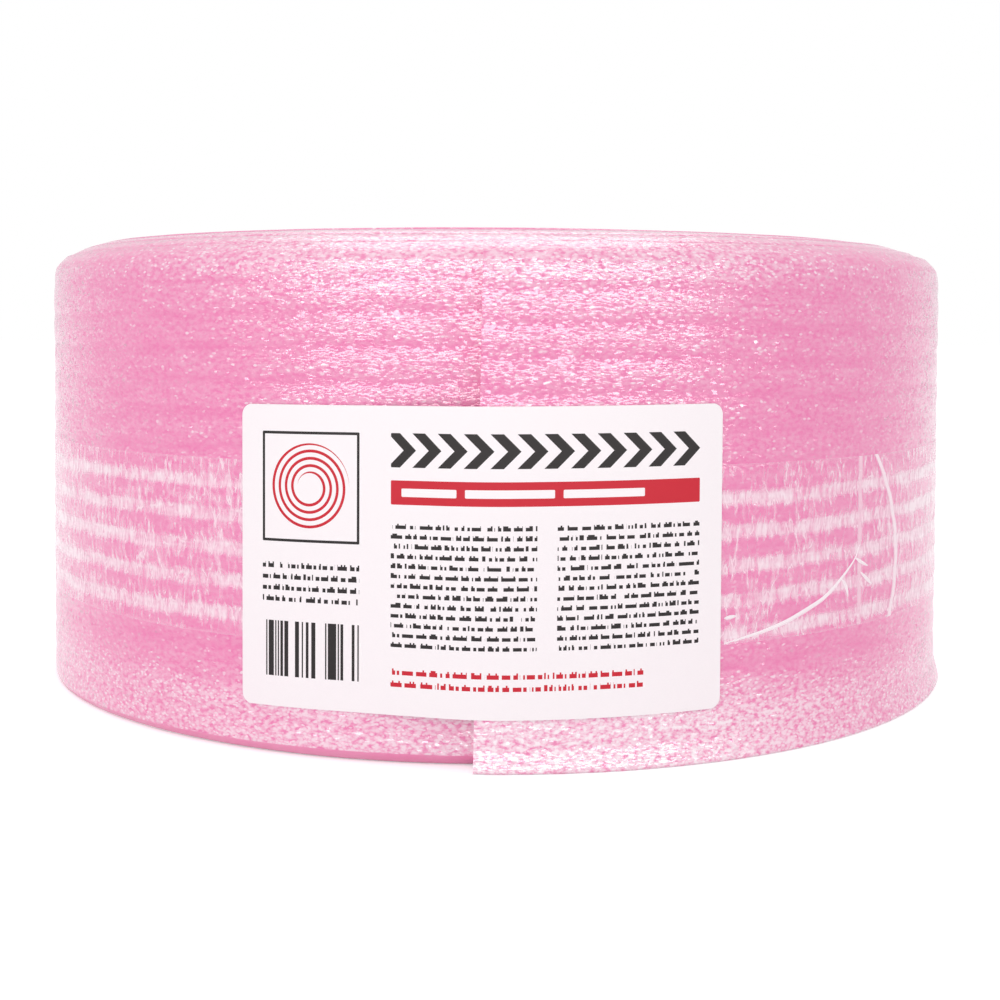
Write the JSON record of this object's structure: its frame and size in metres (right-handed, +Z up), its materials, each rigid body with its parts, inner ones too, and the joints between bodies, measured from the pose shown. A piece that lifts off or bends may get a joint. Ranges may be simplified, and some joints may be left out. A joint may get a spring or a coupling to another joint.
{
  "type": "sill plate gasket roll",
  "caption": "Roll of ribbed pink foam sill plate gasket standing on its end, held by a band of clear tape with a white label.",
  "frame": {"origin": "on the axis of the roll's bore, at the floor that it stands on", "axes": "+Z up along the bore; the strip's outer end and the label face -Y; +X is to the right seen from the front"},
  "size_m": [0.4073, 0.4113, 0.1905],
  "materials": {
    "pink_foam": "closed-cell polyethylene foam with a glinting cell skin",
    "clear_film": "clear film",
    "label_paper": "satin coated paper"
  },
  "bodies": {
    "root": {"foam_roll": "pink_foam", "clear_tape": "clear_film", "label": "label_paper"}
  },
  "joints": []
}
